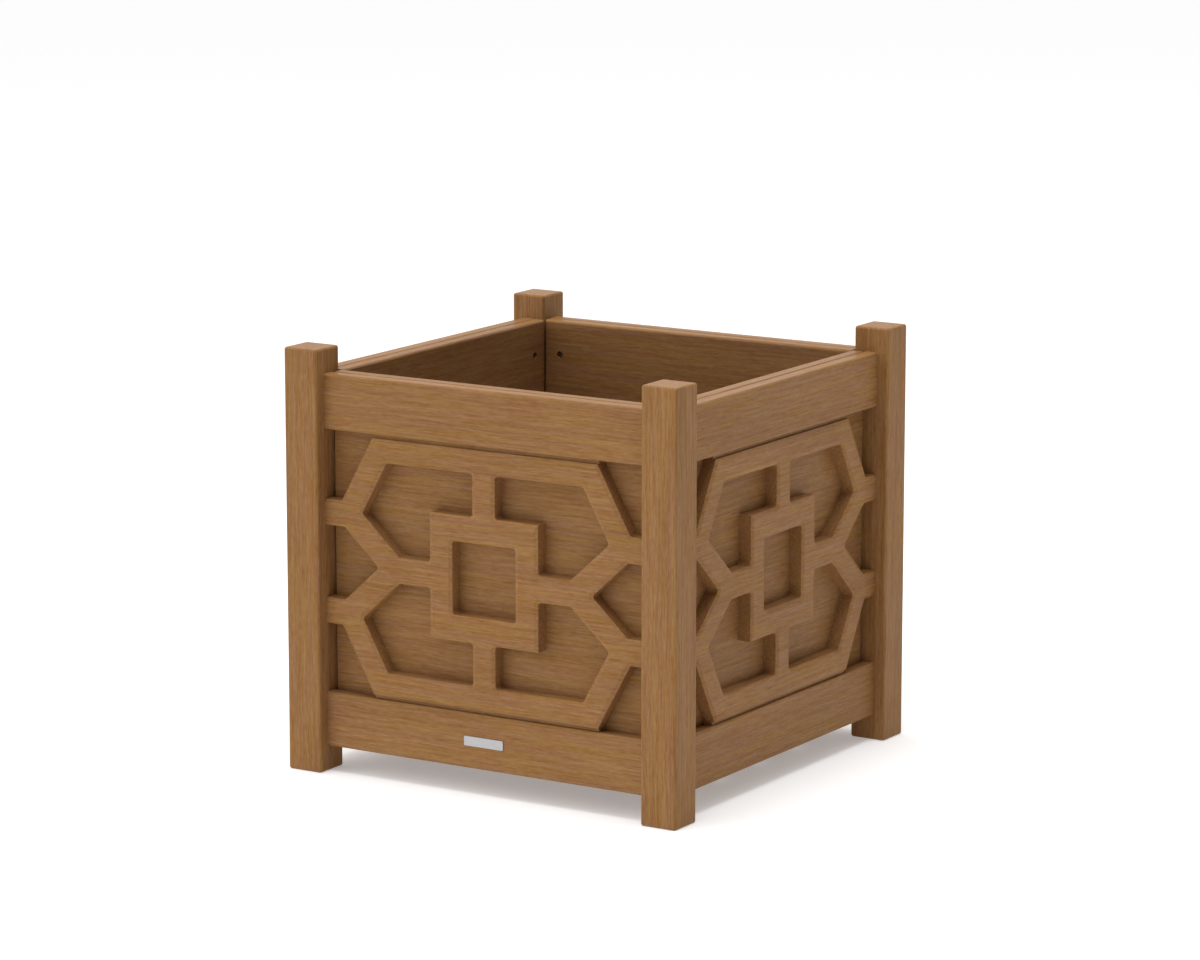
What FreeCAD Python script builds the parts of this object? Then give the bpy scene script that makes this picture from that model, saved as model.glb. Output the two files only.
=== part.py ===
"""Square planter box of plastic lumber: four posts, framed walls with cut fretwork, a slatted floor.

Millimetres, +Z up. The origin is on the ground at the middle of the box, and the front faces -Y.
Each wall is drawn once as the front wall and turned about Z for the other three sides.
"""
import FreeCAD, Part
import math
import os

import Sketcher

Vector = FreeCAD.Vector
UP = Vector(0, 0, 1)

# Sizes

SIZES = [
    ("planter_side", 508.0, "outside of the posts, left to right and front to back"),
    ("post_height", 480.5, "ground to the top of a post"),
    ("post_section", 44.0, "side of the square post"),
    ("post_corner_radius", 3.0, "rounding of a post's long edges"),
    ("post_end_radius", 2.8, "rounding of a post's ends"),
    ("post_rise", 28.0, "post top above the walls' top"),
    ("rail_setback", 13.8, "post's outer face to a rail's face"),
    ("rail_thickness", 17.0, "front to back of a rail"),
    ("rail_height", 62.5, "lower to upper edge of a rail"),
    ("rail_edge_radius", 3.0, "rounding of a rail's long edges"),
    ("rail_floor_gap", 29.0, "ground to the bottom rails"),
    ("panel_thickness", 16.0, "wall panel behind the rails"),
    ("panel_edge_radius", 3.0, "rounding of a panel's long edges"),
    ("panel_end_gap", 2.7, "wall panel's end to the post"),
    ("corner_slit", 3.0, "open slit between two panels in a corner"),
    ("fretwork_thickness", 17.0, "fretwork sheet"),
    ("fretwork_gap", 4.1, "fretwork's face to the rail above and below"),
    ("fretwork_ease_run", 4.4, "slope round the fretwork's front edges, along the face"),
    ("fretwork_ease_drop", 1.7, "slope round the fretwork's front edges, front to back"),
    ("fretwork_inside_radius", 4.0, "radius that the cutter leaves in a corner"),
    ("lip_setback", 4.5, "lip at the rails, behind the fretwork's face"),
    ("lip_play", 0.3, "lip to the rail"),
    ("edge_bar", 26.4, "top and bottom bar of the fretwork"),
    ("fretwork_bar", 29.2, "every other bar of the fretwork, square to its edges"),
    ("crown_share", 0.6976, "top bar's end, share of half the bay"),
    ("shoulder_share", 0.8957, "band's lower end, share of half the bay"),
    ("tip_share", 0.6624, "notch's tip, share of half the bay"),
    ("notch_share", 0.8795, "notch's corner at the arm, share of half the bay"),
    ("arm_share", 0.4857, "arms' and ring's outer edge, share of half the height"),
    ("cleat_thickness", 19.0, "floor cleat, wall to centre"),
    ("cleat_height", 38.0, "floor cleat, lower to upper edge"),
    ("cleat_lift", 3.0, "panel's lower edge to the cleat"),
    ("cleat_end_gap", 4.0, "cleat's end to the next wall"),
    ("slat_thickness", 16.0, "floor slat"),
    ("slat_count", 5.0, "floor slats"),
    ("slat_gap", 6.0, "drainage gap between two slats"),
    ("slat_wall_gap", 2.0, "floor to the walls"),
    ("slat_edge_radius", 2.0, "rounding of a slat's long edges"),
    ("slat_screw_share", 0.26, "screw from the slat's middle, share of its width"),
    ("head_diameter", 7.0, "wall screw's head"),
    ("head_height", 2.5, "wall screw's head"),
    ("head_recess", 4.0, "wall screw's head below the surface"),
    ("head_play", 0.5, "round the head in its recess"),
    ("shank_diameter", 4.0, "screw below its head"),
    ("shank_play", 0.1, "round the shank in its hole"),
    ("screw_bite", 12.0, "screw in the second piece"),
    ("point_length", 4.0, "tapered end of a screw"),
    ("drive_width", 2.4, "square drive in a screw's head"),
    ("drive_depth", 1.4, "square drive in a screw's head"),
    ("hole_overrun", 1.0, "hole beyond the screw's point"),
    ("panel_screw_inset", 24.0, "post to the panel screws"),
    ("panel_screw_share", 0.64, "rail's upper edge to the panel screws, share of the rail"),
    ("arm_screw_inset", 13.0, "post to the screws in the arms"),
    ("pocket_angle", 15.0, "rail screw to the rail, degrees"),
    ("pocket_cover", 1.5, "rail's back to the head's edge"),
    ("pocket_head", 8.5, "rail screw's head"),
    ("pocket_head_height", 2.6, "rail screw's head"),
    ("post_bite", 20.0, "rail screw in the post"),
    ("rail_screw_inset", 12.25, "rail's edge to the screw in its end"),
    ("plate_width", 51.0, "nameplate"),
    ("plate_height", 11.0, "nameplate"),
    ("plate_thickness", 1.0, "nameplate"),
    ("plate_corner_radius", 1.6, "nameplate"),
    ("plate_edge_radius", 0.3, "rounding of the nameplate's front edges"),
    ("stud_diameter", 2.4, "studs behind the nameplate"),
    ("stud_length", 8.0, "studs behind the nameplate"),
    ("stud_inset", 6.0, "plate's end to its studs"),
]

doc = FreeCAD.newDocument("planter")
sheet = doc.addObject("Spreadsheet::Sheet", "sizes")
for row, (name, number, meaning) in enumerate(SIZES, start=1):
    sheet.set("A%d" % row, name)
    sheet.set("B%d" % row, "%s" % number)
    sheet.set("C%d" % row, meaning)
    sheet.setAlias("B%d" % row, name)
doc.recompute()


def value(expression):
    """The number that an expression over the sheet gives now."""
    return float(sheet.evalExpression(expression))


# Places that follow from the sizes, in the front wall's frame

POST_INNER = "(sizes.planter_side / 2 - sizes.post_section)"
RAIL_FACE = "(sizes.planter_side / 2 - sizes.rail_setback)"
RAIL_BACK = "(%s - sizes.rail_thickness)" % RAIL_FACE
PANEL_INNER = "(%s - sizes.panel_thickness)" % RAIL_BACK
WALL_TOP = "(sizes.post_height - sizes.post_rise)"
TOP_RAIL_BASE = "(%s - sizes.rail_height)" % WALL_TOP
BOTTOM_RAIL_BASE = "sizes.rail_floor_gap"
BOTTOM_RAIL_TOP = "(sizes.rail_floor_gap + sizes.rail_height)"
PANEL_END = "(%s - sizes.panel_end_gap)" % POST_INNER
MITRE_SHIFT = "(sizes.corner_slit / sqrt(2))"
CLEAT_BASE = "(sizes.rail_floor_gap + sizes.cleat_lift)"
CLEAT_TOP = "(%s + sizes.cleat_height)" % CLEAT_BASE
CLEAT_MIDDLE = "(%s + sizes.cleat_height / 2)" % CLEAT_BASE
FLOOR_HALF = "(%s - sizes.slat_wall_gap)" % PANEL_INNER
SLAT_WIDTH = "((2 * %s + sizes.slat_gap) / sizes.slat_count - sizes.slat_gap)" % FLOOR_HALF
SLAT_PITCH = "(%s + sizes.slat_gap)" % SLAT_WIDTH

# The fretwork's outline, in one quarter, from the middle of its field

FIELD_MIDDLE = "((%s + %s) / 2)" % (TOP_RAIL_BASE, BOTTOM_RAIL_TOP)
FIELD_HALF = "((%s - %s) / 2 - sizes.fretwork_gap)" % (TOP_RAIL_BASE, BOTTOM_RAIL_TOP)
CROWN = "(sizes.crown_share * %s)" % POST_INNER
SHOULDER = "(sizes.shoulder_share * %s)" % POST_INNER
TIP = "(sizes.tip_share * %s)" % POST_INNER
NOTCH = "(sizes.notch_share * %s)" % POST_INNER
ARM_OUT = "(sizes.arm_share * %s)" % FIELD_HALF
ARM_IN = "(%s - sizes.fretwork_bar)" % ARM_OUT
ARM_MIDDLE = "(%s - sizes.fretwork_bar / 2)" % ARM_OUT
EDGE_IN = "(%s - sizes.edge_bar)" % FIELD_HALF
EDGE_MIDDLE = "(%s - sizes.edge_bar / 2)" % FIELD_HALF
LIP_REACH = "(%s + sizes.fretwork_gap - sizes.lip_play)" % FIELD_HALF
HALF_BAR = "(sizes.fretwork_bar / 2)"
SLOPE = "((%s - %s) / (%s - %s))" % (SHOULDER, CROWN, FIELD_HALF, ARM_OUT)
BAND_IN_AT_MIDDLE = "(%s + %s * %s - sizes.fretwork_bar * sqrt(1 + %s ^ 2))" % (
    CROWN, SLOPE, FIELD_HALF, SLOPE)
CHEVRON_RUN = "((%s - %s) / %s)" % (NOTCH, TIP, ARM_IN)
CHEVRON_IN = "(%s - sizes.fretwork_bar * sqrt(1 + %s ^ 2))" % (TIP, CHEVRON_RUN)
BEND_HEIGHT = "((%s - %s) / (%s + %s))" % (BAND_IN_AT_MIDDLE, CHEVRON_IN, CHEVRON_RUN, SLOPE)
BEND = "(%s + %s * %s)" % (CHEVRON_IN, CHEVRON_RUN, BEND_HEIGHT)
NECK_END = "(%s + %s * %s)" % (CHEVRON_IN, CHEVRON_RUN, HALF_BAR)

OUTLINE_QUARTER = [
    (CROWN, FIELD_HALF),
    (SHOULDER, ARM_OUT),
    (POST_INNER, ARM_OUT),
    (POST_INNER, ARM_IN),
    (NOTCH, ARM_IN),
    (TIP, "0"),
]
WINDOW_QUARTER = [
    (HALF_BAR, EDGE_IN),
    ("(%s - %s * %s)" % (BAND_IN_AT_MIDDLE, SLOPE, EDGE_IN), EDGE_IN),
    (BEND, BEND_HEIGHT),
    (NECK_END, HALF_BAR),
    (ARM_OUT, HALF_BAR),
    (ARM_OUT, ARM_OUT),
    (HALF_BAR, ARM_OUT),
]
RING_OPENING = [(ARM_IN, ARM_IN)]
QUARTERS = [("", ""), ("", "-"), ("-", "-"), ("-", "")]

# The corners above that the cutter rounds, by their order in the lists
OUTLINE_INSIDE = (1, 4, 5)
WINDOW_INSIDE = (0, 1, 2, 3, 4, 6)

SIDES = [("front", 0), ("right", 90), ("back", 180), ("left", 270)]
POSTS = [("front_right", 0), ("back_right", 90), ("back_left", 180), ("front_left", 270)]

# Cosine above which two directions count as one
PARALLEL = 0.999

nodes = []


def turn(degrees):
    """A turn about the box's upright axis."""
    return FreeCAD.Placement(Vector(0, 0, 0), FreeCAD.Rotation(UP, degrees))


# Sketches and solids

def new_body(label):
    body = doc.addObject("PartDesign::Body", "body")
    body.Label = label
    return body


def new_sketch(body, role, offset="0"):
    """A sketch on one of the body's own origin planes, moved along the plane's normal."""
    plane = [item for item in body.Origin.OriginFeatures if item.Role == role][0]
    sketch = body.newObject("Sketcher::SketchObject", "sketch")
    sketch.AttachmentSupport = [(plane, "")]
    sketch.MapMode = "FlatFace"
    sketch.setExpression("AttachmentOffset.Base.z", offset)
    return sketch


def draw_loop(sketch, corners):
    """A closed run of lines whose corners are pairs of expressions."""
    first = sketch.GeometryCount
    spots = [Vector(value(across), value(along), 0) for across, along in corners]
    count = len(corners)
    for index in range(count):
        sketch.addGeometry(Part.LineSegment(spots[index], spots[(index + 1) % count]))
    for index in range(count):
        following = first + (index + 1) % count
        sketch.addConstraint(Sketcher.Constraint("Coincident", first + index, 2, following, 1))
    for index, (across, along) in enumerate(corners):
        for kind, text, number in (
                ("DistanceX", across, spots[index].x), ("DistanceY", along, spots[index].y)):
            place = sketch.addConstraint(
                Sketcher.Constraint(kind, -1, 1, first + index, 1, number))
            sketch.setExpression("Constraints[%d]" % place, text)


def draw_circle(sketch, across, along, diameter):
    """A circle bound by its centre and diameter."""
    spot = Vector(value(across), value(along), 0)
    size = value(diameter)
    circle = sketch.addGeometry(Part.Circle(spot, UP, size / 2))
    for kind, text, number in (("DistanceX", across, spot.x), ("DistanceY", along, spot.y)):
        place = sketch.addConstraint(Sketcher.Constraint(kind, -1, 1, circle, 3, number))
        sketch.setExpression("Constraints[%d]" % place, text)
    place = sketch.addConstraint(Sketcher.Constraint("Diameter", circle, size))
    sketch.setExpression("Constraints[%d]" % place, diameter)


def box_corners(low_across, low_along, high_across, high_along):
    return [(low_across, low_along), (high_across, low_along),
            (high_across, high_along), (low_across, high_along)]


def pad(body, sketch, length, symmetric=False, backward=False):
    feature = body.newObject("PartDesign::Pad", "pad")
    feature.Profile = sketch
    feature.setExpression("Length", length)
    if symmetric:
        feature.SideType = "Symmetric"
    feature.Reversed = backward
    doc.recompute()
    return feature


def round_edges(body, feature, names, radius):
    fillet = body.newObject("PartDesign::Fillet", "fillet")
    fillet.Base = (feature, names)
    fillet.setExpression("Radius", radius)
    doc.recompute()
    return fillet


def edges_along(shape, axis, keep=lambda middle: True):
    """Names of the straight edges that run along an axis and whose middle is kept."""
    names = []
    for number, edge in enumerate(shape.Edges, start=1):
        if not isinstance(edge.Curve, Part.Line):
            continue
        middle = edge.BoundBox.Center
        if abs(edge.Curve.Direction.dot(axis)) > PARALLEL and keep(middle):
            names.append("Edge%d" % number)
    return names


def face_toward(shape, direction):
    """Name of the flat face that lies furthest along a direction."""
    best = None
    for number, face in enumerate(shape.Faces, start=1):
        if not isinstance(face.Surface, Part.Plane):
            continue
        if face.normalAt(0, 0).dot(direction) < PARALLEL:
            continue
        reach = face.CenterOfMass.dot(direction)
        if best is None or reach > best[0]:
            best = (reach, "Face%d" % number)
    return best[1]


def sharp_rim(shape, direction, keep):
    """Square edges round the flat face furthest along a direction, whose middle is kept.

    Their names come in two lists: those whose first face is a side, and those whose first is the flat one.
    """
    flat = shape.getElement(face_toward(shape, direction))
    side_first, flat_first = [], []
    for number, edge in enumerate(shape.Edges, start=1):
        if not keep(edge.BoundBox.Center) or not any(edge.isSame(other) for other in flat.Edges):
            continue
        first, second = shape.ancestorsOfType(edge, Part.Face)
        leads = first.isSame(flat)
        side = second if leads else first
        if abs(side.normalAt(0, 0).dot(direction)) < 1 - PARALLEL:
            (flat_first if leads else side_first).append("Edge%d" % number)
    return side_first, flat_first


def ease_rim(body, feature, direction, keep, run, drop):
    """A flat slope round a flat face, by its run along the face and its drop down the sides."""
    side_first, flat_first = sharp_rim(feature.Shape, direction, keep)
    while side_first or flat_first:
        slope = body.newObject("PartDesign::Chamfer", "slope")
        slope.Base = (feature, side_first or flat_first)
        slope.ChamferType = "Two distances"
        slope.FlipDirection = bool(side_first)
        slope.setExpression("Size", run)
        slope.setExpression("Size2", drop)
        doc.recompute()
        feature = slope
        side_first, flat_first = sharp_rim(feature.Shape, direction, keep)
    return feature


def drilled(blank, label, holes):
    """The blank with holes cut in it, under the node's own name."""
    blank.Label = label + "_blank"
    tool = doc.addObject("Part::Feature", "holes")
    tool.Label = label + "_holes"
    tool.Shape = Part.makeCompound(holes)
    cut = doc.addObject("Part::Cut", "cut")
    cut.Base = blank
    cut.Tool = tool
    cut.Label = label
    doc.recompute()
    removed = blank.Shape.Volume - cut.Shape.Volume
    if removed <= 0:
        raise RuntimeError("the holes of %s cut nothing" % label)
    return cut


def keep_node(piece, placement=None):
    if placement is not None:
        piece.Placement = placement
    nodes.append(piece)


# Screws: a head that sits at the origin, and a shank along +Z

def screw_solid(head, head_height, length):
    radius = value("sizes.shank_diameter") / 2
    straight = length - value("sizes.point_length")
    profile = [
        Vector(0, 0, -head_height), Vector(head / 2, 0, -head_height), Vector(head / 2, 0, 0),
        Vector(radius, 0, 0), Vector(radius, 0, straight), Vector(0, 0, length)]
    outline = Part.makePolygon(profile + profile[:1])
    turned = Part.Face(outline).revolve(Vector(0, 0, 0), UP, 360)
    width = value("sizes.drive_width")
    depth = value("sizes.drive_depth")
    socket = Part.makeBox(width, width, depth, Vector(-width / 2, -width / 2, -head_height))
    return turned.cut(socket)


def hole_solid(head_hole, head_run, length):
    """The space for a screw: its head's recess, and its shank with an overrun at the point."""
    overrun = value("sizes.hole_overrun")
    bore = value("sizes.shank_diameter") / 2 + value("sizes.shank_play")
    recess = Part.makeCylinder(head_hole / 2, head_run, Vector(0, 0, -head_run), UP)
    shaft = Part.makeCylinder(bore, length + overrun, Vector(0, 0, 0), UP)
    return recess.fuse(shaft)


def seated(shape, seat, direction):
    """A copy of a screw or its hole, with its head's underside at the seat."""
    copy = shape.copy()
    copy.Placement = FreeCAD.Placement(seat, FreeCAD.Rotation(UP, direction))
    return copy


def turned_shapes(shapes, degrees):
    copies = []
    for shape in shapes:
        copy = shape.copy()
        copy.Placement = turn(degrees).multiply(copy.Placement)
        copies.append(copy)
    return copies


def wall_screw(cover):
    """A wall screw and its hole, for a first piece of the given thickness.

    Returns the screw, the hole and how far the head's underside lies below the surface.
    """
    sink = value("sizes.head_recess + sizes.head_height")
    length = value(cover) - sink + value("sizes.screw_bite")
    screw = screw_solid(value("sizes.head_diameter"), value("sizes.head_height"), length)
    recess = value("sizes.head_diameter + 2 * sizes.head_play")
    hole = hole_solid(recess, sink, length)
    return screw, hole, sink


def screw_group(label, shapes):
    group = doc.addObject("Part::Feature", "screws")
    group.Label = label
    group.Shape = Part.makeCompound(shapes)
    keep_node(group)


# Where the screws of one wall sit, in the front wall's frame

post_inner = value(POST_INNER)
panel_inner = value(PANEL_INNER)
field_middle = value(FIELD_MIDDLE)
outward = Vector(0, -1, 0)

panel_screw, panel_hole, panel_sink = wall_screw("sizes.panel_thickness")
panel_seat = -panel_inner - panel_sink
panel_screw_reach = post_inner - value("sizes.panel_screw_inset")
rail_tops = (value(WALL_TOP), value(BOTTOM_RAIL_TOP))
panel_spots = [
    (side * panel_screw_reach, top - value("sizes.panel_screw_share * sizes.rail_height"))
    for top in rail_tops for side in (-1, 1)]

arm_reach = post_inner - value("sizes.arm_screw_inset")
arm_middle = value(ARM_MIDDLE)
upright_middle = value("(%s + %s) / 2" % (ARM_OUT, EDGE_IN))
neck_middle = value("(%s + %s) / 2" % (ARM_OUT, NECK_END))
fretwork_spots = [
    (side * arm_reach, field_middle + level * arm_middle) for side in (-1, 1) for level in (-1, 1)]
fretwork_spots += [(0, field_middle + level * upright_middle) for level in (-1, 1)]
fretwork_spots += [(side * neck_middle, field_middle) for side in (-1, 1)]


def panel_row(shape, spots):
    return [seated(shape, Vector(across, panel_seat, level), outward) for across, level in spots]


pocket_angle = math.radians(value("sizes.pocket_angle"))
pocket_hole_diameter = value("sizes.pocket_head + 2 * sizes.head_play")
pocket_depth = value("sizes.rail_thickness / 2 - sizes.pocket_cover")
pocket_drop = pocket_depth - pocket_hole_diameter / 2 * math.cos(pocket_angle)
pocket_seat_run = pocket_drop / math.sin(pocket_angle)
pocket_run = (value("sizes.rail_thickness") + pocket_hole_diameter) / math.sin(pocket_angle)
rail_screw_length = pocket_seat_run + value("sizes.post_bite")
rail_screw = screw_solid(
    value("sizes.pocket_head"), value("sizes.pocket_head_height"), rail_screw_length)
rail_hole = hole_solid(pocket_hole_diameter, pocket_run, rail_screw_length)
rail_middle_depth = value("%s - sizes.rail_thickness / 2" % RAIL_FACE)


def rail_end_row(shape, base, side):
    """Two screws, or their holes, through one end of a rail into the post."""
    aim = Vector(side * math.cos(pocket_angle), -math.sin(pocket_angle), 0)
    entry = Vector(side * post_inner, -rail_middle_depth, 0)
    middle = base + value("sizes.rail_height") / 2
    reach = value("sizes.rail_height / 2 - sizes.rail_screw_inset")
    row = []
    for level in (-1, 1):
        seat = entry - aim * pocket_seat_run
        seat.z = middle + level * reach
        row.append(seated(shape, seat, aim))
    return row


rail_bases = (value(TOP_RAIL_BASE), value(BOTTOM_RAIL_BASE))


# Posts

def build_post(label, degrees):
    body = new_body(label)
    sketch = new_sketch(body, "XY_Plane")
    outer = "(sizes.planter_side / 2)"
    draw_loop(sketch, box_corners(POST_INNER, "-" + outer, outer, "-" + POST_INNER))
    blank = pad(body, sketch, "sizes.post_height")
    rounded = round_edges(body, blank, edges_along(blank.Shape, UP), "sizes.post_corner_radius")
    ends = [face_toward(rounded.Shape, UP), face_toward(rounded.Shape, -UP)]
    round_edges(body, rounded, ends, "sizes.post_end_radius")
    holes = []
    for base in rail_bases:
        holes += rail_end_row(rail_hole, base, 1)
        holes += turned_shapes(rail_end_row(rail_hole, base, -1), 90)
    keep_node(drilled(body, label, holes), turn(degrees))


for corner, degrees in POSTS:
    build_post("post_" + corner, degrees)

# Rails

stud_reach = value("sizes.plate_width / 2 - sizes.stud_inset")
plate_middle = value("%s + sizes.rail_height / 2" % BOTTOM_RAIL_BASE)


def stud_holes():
    radius = value("sizes.stud_diameter / 2 + sizes.shank_play")
    depth = value("sizes.stud_length + sizes.hole_overrun")
    return [
        Part.makeCylinder(
            radius, depth, Vector(side * stud_reach, -value(RAIL_FACE), plate_middle), -outward)
        for side in (-1, 1)]


def build_rail(label, base, degrees, more_holes):
    body = new_body(label)
    sketch = new_sketch(body, "YZ_Plane")
    top = "(%s + sizes.rail_height)" % base
    draw_loop(sketch, box_corners("-" + RAIL_FACE, base, "-" + RAIL_BACK, top))
    blank = pad(body, sketch, "2 * %s" % POST_INNER, symmetric=True)
    along = Vector(1, 0, 0)
    round_edges(body, blank, edges_along(blank.Shape, along), "sizes.rail_edge_radius")
    level = value(base)
    spots = [(across, height) for across, height in panel_spots
             if level < height < level + value("sizes.rail_height")]
    holes = panel_row(panel_hole, spots) + more_holes
    for side in (-1, 1):
        holes += rail_end_row(rail_hole, level, side)
    keep_node(drilled(body, label, holes), turn(degrees))


for side_name, degrees in SIDES:
    build_rail("top_rail_" + side_name, TOP_RAIL_BASE, degrees, [])
    studs = stud_holes() if side_name == "front" else []
    build_rail("bottom_rail_" + side_name, BOTTOM_RAIL_BASE, degrees, studs)

# Wall panels, their ends cut back inside the corner so that two panels leave a slit

cleat_screw, cleat_hole, cleat_sink = wall_screw("sizes.cleat_thickness")
slat_pitch = value(SLAT_PITCH)
slat_count = round(value("sizes.slat_count"))
slat_places = [(index - (slat_count - 1) / 2) * slat_pitch for index in range(slat_count)]
cleat_screw_places = [place + slat_pitch / 2 for place in slat_places[:-1]]


def cleat_row(shape):
    """Screws, or their holes, through the right cleat into the right wall panel."""
    seat = panel_inner - value("sizes.cleat_thickness") + cleat_sink
    return [
        seated(shape, Vector(seat, place, value(CLEAT_MIDDLE)), Vector(1, 0, 0))
        for place in cleat_screw_places]


def build_panel(label, degrees, more_holes):
    body = new_body(label)
    sketch = new_sketch(body, "XY_Plane", "sizes.rail_floor_gap")
    cut_depth = "(%s + %s)" % (PANEL_END, MITRE_SHIFT)
    cut_reach = "(%s - %s)" % (PANEL_INNER, MITRE_SHIFT)
    half = [(PANEL_END, "-" + RAIL_BACK), (PANEL_END, "-" + cut_depth), (cut_reach, "-" + PANEL_INNER)]
    mirrored = [("-" + across, depth) for across, depth in reversed(half)]
    draw_loop(sketch, half + mirrored)
    blank = pad(body, sketch, "%s - sizes.rail_floor_gap" % WALL_TOP)
    along = Vector(1, 0, 0)
    round_edges(body, blank, edges_along(blank.Shape, along), "sizes.panel_edge_radius")
    holes = panel_row(panel_hole, panel_spots + fretwork_spots) + more_holes
    keep_node(drilled(body, label, holes), turn(degrees))


cleated = turned_shapes(cleat_row(cleat_hole), -90)
for side_name, degrees in SIDES:
    build_panel("wall_panel_" + side_name, degrees, cleated if side_name in ("left", "right") else [])

# Fretwork panels, each with a lip behind its face above and below, up to the rails

def lift(corners):
    return [(across, "(%s + %s)" % (FIELD_MIDDLE, along)) for across, along in corners]


def mirror_corner(corner, signs):
    across, along = corner
    return signs[0] + across, signs[1] + along


def outline_corners():
    """The whole outer outline, quarter by quarter, clockwise from the top right."""
    corners = []
    for signs in QUARTERS:
        quarter = OUTLINE_QUARTER if signs in (("", ""), ("-", "-")) else OUTLINE_QUARTER[-2::-1]
        corners += [mirror_corner(corner, signs) for corner in quarter]
    return corners


def build_fretwork(label, degrees):
    body = new_body(label)
    sketch = new_sketch(body, "XZ_Plane", RAIL_BACK)
    draw_loop(sketch, lift(outline_corners()))
    for signs in QUARTERS:
        draw_loop(sketch, lift([mirror_corner(corner, signs) for corner in WINDOW_QUARTER]))
    across, along = RING_OPENING[0]
    draw_loop(sketch, lift(box_corners("-" + across, "-" + along, across, along)))
    blank = pad(body, sketch, "sizes.fretwork_thickness")
    near = value("sizes.fretwork_ease_drop") / 4

    def listed(*groups):
        """Whether an edge stands in one of the listed corners of any quarter."""
        places = [
            (abs(value(corners[index][0])), abs(value(corners[index][1])))
            for corners, order in groups for index in order]

        def keep(middle):
            height = abs(middle.z - field_middle)
            return any(math.hypot(abs(middle.x) - x, height - z) < near for x, z in places)
        return keep

    inside = listed(
        (OUTLINE_QUARTER, OUTLINE_INSIDE), (WINDOW_QUARTER, WINDOW_INSIDE), (RING_OPENING, (0,)))
    cut = round_edges(
        body, blank, edges_along(blank.Shape, outward, inside), "sizes.fretwork_inside_radius")
    ease_rim(
        body, cut, outward, lambda middle: post_inner - abs(middle.x) > near,
        "sizes.fretwork_ease_run", "sizes.fretwork_ease_drop")
    lips = new_sketch(body, "XZ_Plane", RAIL_BACK)
    for sign in ("", "-"):
        draw_loop(lips, lift(box_corners("-" + CROWN, sign + EDGE_MIDDLE, CROWN, sign + LIP_REACH)))
    pad(body, lips, "sizes.fretwork_thickness - sizes.lip_setback")
    keep_node(drilled(body, label, panel_row(panel_hole, fretwork_spots)), turn(degrees))


for side_name, degrees in SIDES:
    build_fretwork("fretwork_" + side_name, degrees)

# Floor: two cleats and the slats across them

floor_screw, floor_hole, floor_sink = wall_screw("sizes.slat_thickness")
floor_seat = value("%s + sizes.slat_thickness" % CLEAT_TOP) - floor_sink
cleat_line = panel_inner - value("sizes.cleat_thickness") / 2
screw_shift = value("sizes.slat_screw_share * %s" % SLAT_WIDTH)


def floor_row(shape, places, sides):
    return [
        seated(shape, Vector(side * cleat_line, place + shift * screw_shift, floor_seat), -UP)
        for place in places for side in sides for shift in (-1, 1)]


def build_cleat(label, degrees):
    body = new_body(label)
    sketch = new_sketch(body, "XZ_Plane")
    inner = "(%s - sizes.cleat_thickness)" % PANEL_INNER
    draw_loop(sketch, box_corners(inner, CLEAT_BASE, PANEL_INNER, CLEAT_TOP))
    pad(body, sketch, "2 * (%s - sizes.cleat_end_gap)" % PANEL_INNER, symmetric=True)
    holes = cleat_row(cleat_hole) + floor_row(floor_hole, slat_places, (1,))
    keep_node(drilled(body, label, holes), turn(degrees))


build_cleat("floor_cleat_right", 0)
build_cleat("floor_cleat_left", 180)


def build_slat(label, place):
    body = new_body(label)
    sketch = new_sketch(body, "YZ_Plane")
    half = "(%s / 2)" % SLAT_WIDTH
    top = "(%s + sizes.slat_thickness)" % CLEAT_TOP
    draw_loop(sketch, box_corners("-" + half, CLEAT_TOP, half, top))
    blank = pad(body, sketch, "2 * %s" % FLOOR_HALF, symmetric=True)
    along = Vector(1, 0, 0)
    round_edges(body, blank, edges_along(blank.Shape, along), "sizes.slat_edge_radius")
    slat = drilled(body, label, floor_row(floor_hole, [0], (-1, 1)))
    keep_node(slat, FreeCAD.Placement(Vector(0, place, 0), FreeCAD.Rotation()))


for index, place in enumerate(slat_places, start=1):
    build_slat("floor_slat_%d" % index, place)

# Screws, one group for each job

for side_name, degrees in SIDES:
    ends = []
    for base in rail_bases:
        for side in (-1, 1):
            ends += rail_end_row(rail_screw, base, side)
    screw_group("rail_screws_" + side_name, turned_shapes(ends, degrees))
    screw_group(
        "panel_screws_" + side_name, turned_shapes(panel_row(panel_screw, panel_spots), degrees))
    screw_group(
        "fretwork_screws_" + side_name,
        turned_shapes(panel_row(panel_screw, fretwork_spots), degrees))

screw_group("cleat_screws_right", cleat_row(cleat_screw))
screw_group("cleat_screws_left", turned_shapes(cleat_row(cleat_screw), 180))
screw_group("floor_screws", floor_row(floor_screw, slat_places, (-1, 1)))

# Nameplate, bare, with two studs in the front bottom rail

def build_nameplate():
    body = new_body("nameplate")
    sketch = new_sketch(body, "XZ_Plane", RAIL_FACE)
    middle = "(%s + sizes.rail_height / 2)" % BOTTOM_RAIL_BASE
    half = "(sizes.plate_width / 2)"
    low = "(%s - sizes.plate_height / 2)" % middle
    high = "(%s + sizes.plate_height / 2)" % middle
    draw_loop(sketch, box_corners("-" + half, low, half, high))
    blank = pad(body, sketch, "sizes.plate_thickness")
    corners = edges_along(blank.Shape, outward)
    rounded = round_edges(body, blank, corners, "sizes.plate_corner_radius")
    front = [face_toward(rounded.Shape, outward)]
    round_edges(body, rounded, front, "sizes.plate_edge_radius")
    studs = new_sketch(body, "XZ_Plane", RAIL_FACE)
    for sign in ("", "-"):
        across = "%s(sizes.plate_width / 2 - sizes.stud_inset)" % sign
        draw_circle(studs, across, middle, "sizes.stud_diameter")
    pad(body, studs, "sizes.stud_length", backward=True)
    keep_node(body)


build_nameplate()

# Checks, then one file for each node

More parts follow.
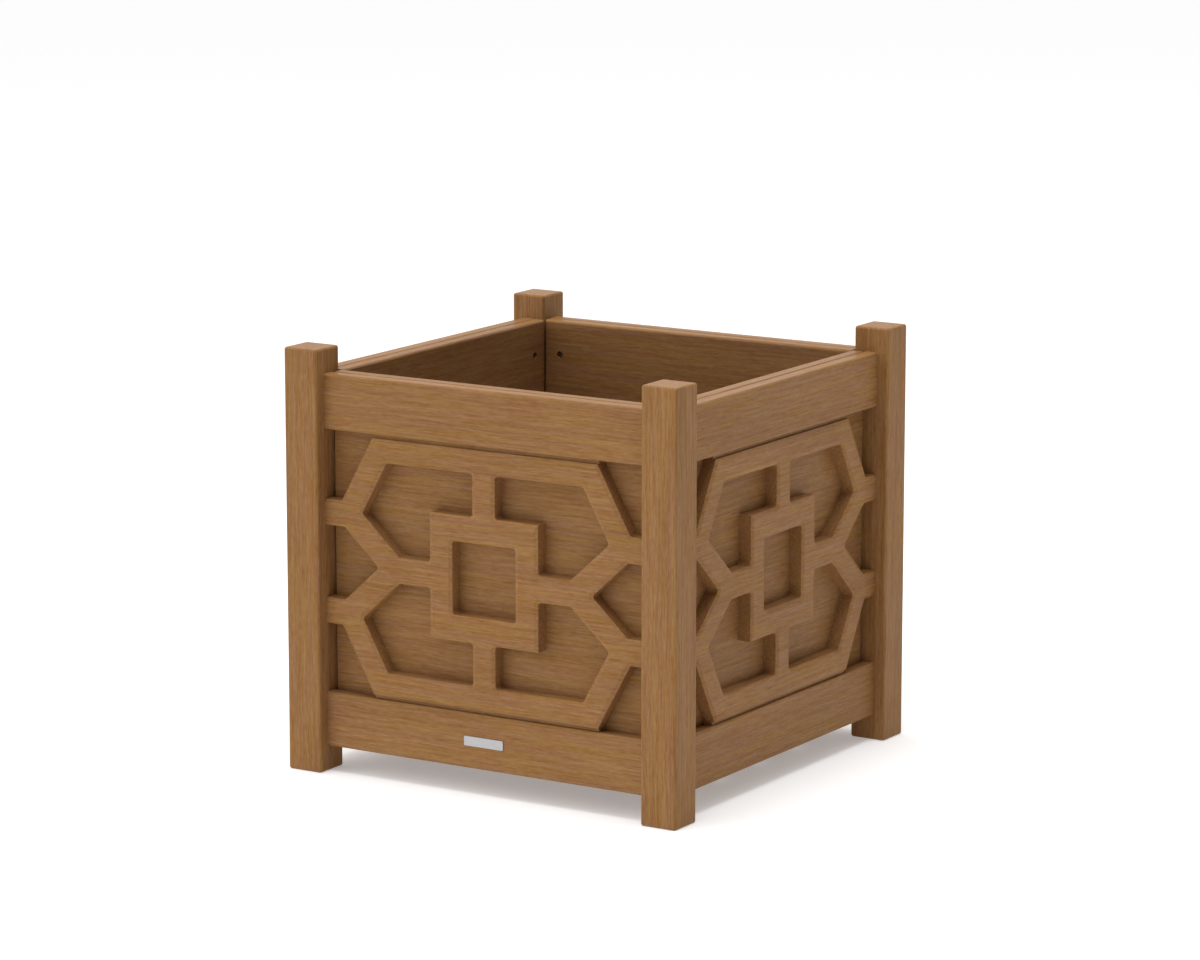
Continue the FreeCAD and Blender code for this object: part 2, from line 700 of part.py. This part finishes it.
doc.recompute()
for item in doc.Objects:
    if "Invalid" in item.State or "Error" in item.State:
        raise RuntimeError("%s failed: %s" % (item.Label, item.State))
for node in nodes:
    if node.Shape.isNull() or not node.Shape.isValid() or not node.Shape.Solids:
        raise RuntimeError("%s has no valid solid" % node.Label)

whole = Part.makeCompound([node.Shape for node in nodes]).BoundBox
print("nodes %d, solids %d" % (len(nodes), sum(len(node.Shape.Solids) for node in nodes)))
print("box %.2f x %.2f x %.2f from z %.3f" % (whole.XLength, whole.YLength, whole.ZLength, whole.ZMin))

os.makedirs("parts", exist_ok=True)
for node in nodes:
    node.Shape.exportStep("parts/%s.step" % node.Label)
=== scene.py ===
"""Looks of the square planter box.

Streaked plastic lumber, screws, a bare nameplate, floor, light and camera. Metres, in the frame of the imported
model: +Z up, the origin on the ground at the middle, the front faces -Y.
"""
import math

import bpy
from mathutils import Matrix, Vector

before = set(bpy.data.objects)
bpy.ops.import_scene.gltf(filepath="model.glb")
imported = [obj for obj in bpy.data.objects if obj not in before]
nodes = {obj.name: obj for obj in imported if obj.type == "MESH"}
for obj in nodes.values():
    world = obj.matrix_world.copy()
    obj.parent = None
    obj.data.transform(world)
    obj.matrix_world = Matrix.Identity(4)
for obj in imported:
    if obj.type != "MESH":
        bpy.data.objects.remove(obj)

scene = bpy.context.scene
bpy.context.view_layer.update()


# Colours

# The curve that turns a screen's levels into light
SCREEN_WHITE = 255
SCREEN_KNEE = 0.04045
SCREEN_SLOPE = 12.92
SCREEN_OFFSET = 0.055
SCREEN_POWER = 2.4


def colour(red, green, blue):
    """A colour given in the 0 to 255 values of a screen."""
    def linear(level):
        share = level / SCREEN_WHITE
        if share <= SCREEN_KNEE:
            return share / SCREEN_SLOPE
        return ((share + SCREEN_OFFSET) / (1 + SCREEN_OFFSET)) ** SCREEN_POWER
    return (linear(red), linear(green), linear(blue), 1.0)


def grey(level):
    """An even grey of a linear level."""
    return (level, level, level, 1.0)


def greys(stops, factor=1.0):
    """Stops of a position and a level, as stops of a position and a grey."""
    return [(position, grey(level * factor)) for position, level in stops]


# Node trees

# Sockets of a Mix node by number, because its kinds of value share their names
NUMBER_A, NUMBER_B = 2, 3
COLOUR_A, COLOUR_B, COLOUR_OUT = 6, 7, 2


def new_material(name):
    """A material with an empty node tree."""
    material = bpy.data.materials.new(name)
    material.use_nodes = True
    material.node_tree.nodes.clear()
    return material


def add(tree, kind, links=None, **settings):
    """A node with its settings, and with inputs that are a value or another node's output."""
    item = tree.nodes.new(kind)
    for key, setting in settings.items():
        setattr(item, key, setting)
    for key, source in (links or {}).items():
        if isinstance(source, bpy.types.NodeSocket):
            tree.links.new(source, item.inputs[key])
        else:
            item.inputs[key].default_value = source
    return item


def math_node(tree, operation, *values):
    """The output of a Math node."""
    return add(tree, "ShaderNodeMath", dict(enumerate(values)), operation=operation).outputs[0]


def noise(tree, place, scale, detail, roughness):
    """The outputs of a noise, scaled along each axis."""
    scaled = add(tree, "ShaderNodeMapping", {"Vector": place, "Scale": scale}).outputs["Vector"]
    return add(tree, "ShaderNodeTexNoise", {
        "Vector": scaled, "Scale": 1.0, "Detail": detail, "Roughness": roughness}).outputs


def ramp(tree, share, stops):
    """A share turned into a colour by stops of a position and a colour."""
    item = add(tree, "ShaderNodeValToRGB", {"Fac": share})
    elements = item.color_ramp.elements
    while len(elements) < len(stops):
        elements.new(0.5)
    for element, (position, tone) in zip(elements, stops):
        element.position = position
        element.color = tone
    return item.outputs["Color"]


def mix(tree, share, first, second, way="MIX"):
    """Two colours, mixed by a share or blended in another way."""
    return add(
        tree, "ShaderNodeMix", {"Factor": share, COLOUR_A: first, COLOUR_B: second},
        data_type="RGBA", blend_type=way).outputs[COLOUR_OUT]


def background_rays(tree):
    """1 for the rays that show the background: the camera's, and those seen in metal or glass."""
    rays = add(tree, "ShaderNodeLightPath").outputs
    seen = math_node(tree, "MAXIMUM", rays["Is Camera Ray"], rays["Is Glossy Ray"])
    return math_node(tree, "MAXIMUM", seen, rays["Is Transmission Ray"])


# Plastic lumber: streaks of yellow and mauve brown that run along the board

TURNS = {"x": (0, 0, 0), "y": (0, 0, -math.pi / 2), "z": (0, math.pi / 2, 0)}

# Noises: scale along the board and twice across it, in waves to the metre, then detail and roughness
SWAY = ((6, 14, 14), 1.0, 0.5)
FIBRES = ((110, 640, 640), 1.0, 0.5)
FINE = ((30, 560, 560), 2.0, 0.55)
STREAKS = ((5.5, 330, 330), 2.0, 0.55)
MIDDLE = ((9, 190, 190), 2.0, 0.55)
BROAD = ((3.5, 36, 36), 2.0, 0.5)
PORES = ((60, 1300, 1300), 1.0, 0.5)

# How far the grain sways along the board and across it, and the middle of a noise's values
SWAY_WIDTH = (0, 0.006, 0.006)
NOISE_MIDDLE = (0.5, 0.5, 0.5)

# Shares of the fine noise, the fibres and the streaks in the grain
FINE_SHARE, FIBRE_SHARE, STREAK_SHARE = 0.40, 0.25, 0.35

STREAK_DARK = (0.240, 0.105, 0.033, 1.0)
STREAK = (0.286, 0.144, 0.056, 1.0)
STREAK_LIGHT = (0.330, 0.185, 0.079, 1.0)
YELLOW = (1.02, 1.04, 0.85, 1.0)
MAUVE = (0.98, 0.96, 1.14, 1.0)
PORE = (0.180, 0.076, 0.022, 1.0)

# Stops: a noise's value, and the colour, brightness, cover or roughness there
GRAIN_STOPS = [(0.36, STREAK_DARK), (0.50, STREAK), (0.64, STREAK_LIGHT)]
HUE_STOPS = [(0.32, YELLOW), (0.68, MAUVE)]
BAND_STOPS = [(0.30, 0.93), (0.70, 1.06)]
PORE_STOPS = [(0.26, 0.7), (0.34, 0.0)]
ROUGH_STOPS = [(0.30, 0.42), (0.70, 0.34)]

FINE_RELIEF = 0.6
RELIEF_STRENGTH, RELIEF_DEPTH = 0.25, 0.0006
LUMBER_IOR = 1.14
# The wall panels are made this much darker than the rails and posts: painted shade for where they sit, recessed
# behind the fretwork and inside the box.
PANEL_PAINTED_SHADE = 0.94

# How far the noises move from one board to the next, in metres
BOARD_SHIFT = (0.37, 0.23, 0.11)


def lumber(name, along, shift, tone):
    """Streaked lumber whose grain runs along an axis, shifted so that no two boards match; a tone below 1
    darkens it as painted shade.
    """
    material = new_material(name)
    tree = material.node_tree
    where = add(tree, "ShaderNodeTexCoord").outputs["Object"]
    turned = add(tree, "ShaderNodeMapping", {
        "Vector": where, "Rotation": TURNS[along], "Location": shift}).outputs["Vector"]
    centred = add(tree, "ShaderNodeVectorMath", {
        0: noise(tree, turned, *SWAY)["Color"], 1: NOISE_MIDDLE}, operation="SUBTRACT")
    place = add(tree, "ShaderNodeVectorMath", {
        0: centred.outputs["Vector"], 1: SWAY_WIDTH, 2: turned}, operation="MULTIPLY_ADD").outputs["Vector"]

    fibres, fine, streaks, middle, broad, pores = [
        noise(tree, place, *layer)["Fac"] for layer in (FIBRES, FINE, STREAKS, MIDDLE, BROAD, PORES)]

    grain = math_node(tree, "MULTIPLY_ADD", fine, FINE_SHARE, 0.0)
    grain = math_node(tree, "MULTIPLY_ADD", fibres, FIBRE_SHARE, grain)
    grain = math_node(tree, "MULTIPLY_ADD", streaks, STREAK_SHARE, grain)
    tinted = mix(tree, 1.0, ramp(tree, grain, GRAIN_STOPS), ramp(tree, middle, HUE_STOPS), "MULTIPLY")
    # The tone scales the broad bands; on the wall panels it is painted shade.
    banded = mix(tree, 1.0, tinted, ramp(tree, broad, greys(BAND_STOPS, tone)), "MULTIPLY")
    final = mix(tree, ramp(tree, pores, greys(PORE_STOPS)), banded, PORE)

    rough = ramp(tree, middle, greys(ROUGH_STOPS))
    height = math_node(tree, "MULTIPLY_ADD", fine, FINE_RELIEF, pores)
    bump = add(tree, "ShaderNodeBump", {
        "Height": height, "Strength": RELIEF_STRENGTH, "Distance": RELIEF_DEPTH}).outputs["Normal"]
    shader = add(tree, "ShaderNodeBsdfPrincipled", {
        "Base Color": final, "Roughness": rough, "Normal": bump, "IOR": LUMBER_IOR})
    add(tree, "ShaderNodeOutputMaterial", {"Surface": shader.outputs[0]})
    return material


def dress(name, material):
    """One material on a node."""
    slots = nodes[name].data.materials
    slots.clear()
    slots.append(material)


# Every board, with the axis that its grain runs along
boards = []
for side in ("front", "right", "back", "left"):
    along = "x" if side in ("front", "back") else "y"
    for kind in ("top_rail", "bottom_rail", "wall_panel", "fretwork"):
        boards.append(("%s_%s" % (kind, side), along))
for corner in ("front_left", "front_right", "back_left", "back_right"):
    boards.append(("post_" + corner, "z"))
for side in ("left", "right"):
    boards.append(("floor_cleat_" + side, "y"))
for count in range(1, 6):
    boards.append(("floor_slat_%d" % count, "x"))

for count, (name, along) in enumerate(boards):
    shift = tuple(step * count for step in BOARD_SHIFT)
    # Only the wall panels get the darker tone, which is painted shade.
    tone = PANEL_PAINTED_SHADE if name.startswith("wall_panel") else 1.0
    dress(name, lumber("lumber " + name, along, shift, tone))


# Metals: colour, roughness, and the scale of the scratches along each axis, in waves to the metre

SCREW_METAL = (colour(150, 148, 145), 0.34, (900, 900, 900))
PLATE_METAL = (colour(176, 176, 177), 0.36, (60, 2400, 2400))
SCRATCH_DETAIL = (3.0, 0.6)
SCRATCH_STOPS = [(0.35, 0.90), (0.65, 1.05)]
SCRATCH_ROUGHNESS = 0.06
SCRATCH_STRENGTH, SCRATCH_DEPTH = 0.15, 0.0001


def metal(name, tone, roughness, scale):
    """Metal with fine scratches."""
    material = new_material(name)
    tree = material.node_tree
    where = add(tree, "ShaderNodeTexCoord").outputs["Object"]
    lines = noise(tree, where, scale, *SCRATCH_DETAIL)["Fac"]
    face = mix(tree, 1.0, tone, ramp(tree, lines, greys(SCRATCH_STOPS)), "MULTIPLY")
    rough = ramp(tree, lines, greys([
        (0.30, roughness - SCRATCH_ROUGHNESS), (0.70, roughness + SCRATCH_ROUGHNESS)]))
    bump = add(tree, "ShaderNodeBump", {
        "Height": lines, "Strength": SCRATCH_STRENGTH, "Distance": SCRATCH_DEPTH}).outputs["Normal"]
    shader = add(tree, "ShaderNodeBsdfPrincipled", {
        "Base Color": face, "Metallic": 1.0, "Roughness": rough, "Normal": bump})
    add(tree, "ShaderNodeOutputMaterial", {"Surface": shader.outputs[0]})
    return material


screw_metal = metal("screw steel", *SCREW_METAL)
for name in nodes:
    if "screws" in name:
        dress(name, screw_metal)
dress("nameplate", metal("plate metal", *PLATE_METAL))


# Floor

FLOOR_GREY = 0.86
FLOOR_GLOW, FLOOR_GLOW_SEEN = 0.22, 0.28
FLOOR_REACH = 60.0


def floor_material():
    """A pale floor with a faint glow, so that it shows as white where nothing shades it."""
    material = new_material("pale floor")
    tree = material.node_tree
    plain = add(tree, "ShaderNodeBsdfDiffuse", {"Color": grey(FLOOR_GREY)})
    level = add(tree, "ShaderNodeMix", {
        "Factor": background_rays(tree), NUMBER_A: FLOOR_GLOW, NUMBER_B: FLOOR_GLOW_SEEN})
    glow = add(tree, "ShaderNodeEmission", {"Color": grey(1.0), "Strength": level.outputs[0]})
    both = add(tree, "ShaderNodeAddShader", {0: plain.outputs[0], 1: glow.outputs[0]})
    add(tree, "ShaderNodeOutputMaterial", {"Surface": both.outputs[0]})
    return material


floor_mesh = bpy.data.meshes.new("floor")
floor_corners = [(x * FLOOR_REACH, y * FLOOR_REACH, 0) for x, y in ((-1, -1), (1, -1), (1, 1), (-1, 1))]
floor_mesh.from_pydata(floor_corners, [], [(0, 1, 2, 3)])
floor_mesh.materials.append(floor_material())
floor = bpy.data.objects.new("floor", floor_mesh)
scene.collection.objects.link(floor)


# Sky: an even light, more of it from the left and from above, and from the front left and the back right

SKY = 0.46
SKY_LEAN = (-0.59, -0.14, 0.50)
SKY_CROSS = 1.0
SKY_LEAST = 0.02
SKY_SEEN = 1.0

world = bpy.data.worlds.new("studio")
world.use_nodes = True
scene.world = world
tree = world.node_tree
tree.nodes.clear()
direction = add(tree, "ShaderNodeTexCoord").outputs["Generated"]
lean = add(tree, "ShaderNodeVectorMath", {0: direction, 1: SKY_LEAN}, operation="DOT_PRODUCT")
axes = add(tree, "ShaderNodeSeparateXYZ", {"Vector": direction}).outputs
cross = math_node(tree, "MULTIPLY", axes["X"], axes["Y"])
level = math_node(tree, "ADD", lean.outputs["Value"], SKY)
crossed = math_node(tree, "MULTIPLY_ADD", cross, SKY_CROSS, level)
least = math_node(tree, "MAXIMUM", crossed, SKY_LEAST)
strength = add(tree, "ShaderNodeMix", {
    "Factor": background_rays(tree), NUMBER_A: least, NUMBER_B: SKY_SEEN})
sky = add(tree, "ShaderNodeBackground", {"Color": grey(1.0), "Strength": strength.outputs[0]})
add(tree, "ShaderNodeOutputWorld", {"Surface": sky.outputs[0]})


# Lamp: a round one overhead, aimed straight down

LAMP_PLACE = (0.3, -0.3, 4.2)
LAMP_AIM = (0.3, -0.3, 0)
LAMP_SIZE = 2.4
LAMP_POWER = 100

lamp = bpy.data.lights.new("overhead", "AREA")
lamp.shape = "DISK"
lamp.size = LAMP_SIZE
lamp.energy = LAMP_POWER
overhead = bpy.data.objects.new("overhead", lamp)
overhead.location = LAMP_PLACE
overhead.rotation_euler = (Vector(LAMP_PLACE) - Vector(LAMP_AIM)).to_track_quat("Z", "Y").to_euler()
scene.collection.objects.link(overhead)


# Camera: solved from the photograph, with the direction from the object back to it

CAMERA_SENSOR = 36.0
CAMERA_LENS = 139.96
CAMERA_PLACE = (2.7474, -4.3834, 1.3199)
CAMERA_BACK = (0.52133, -0.83176, 0.19072)

camera = bpy.data.cameras.new("camera")
camera.sensor_width = CAMERA_SENSOR
camera.lens = CAMERA_LENS
eye = bpy.data.objects.new("camera", camera)
eye.location = CAMERA_PLACE
eye.rotation_euler = Vector(CAMERA_BACK).to_track_quat("Z", "Y").to_euler()
scene.collection.objects.link(eye)
scene.camera = eye

scene.view_settings.view_transform = "Standard"
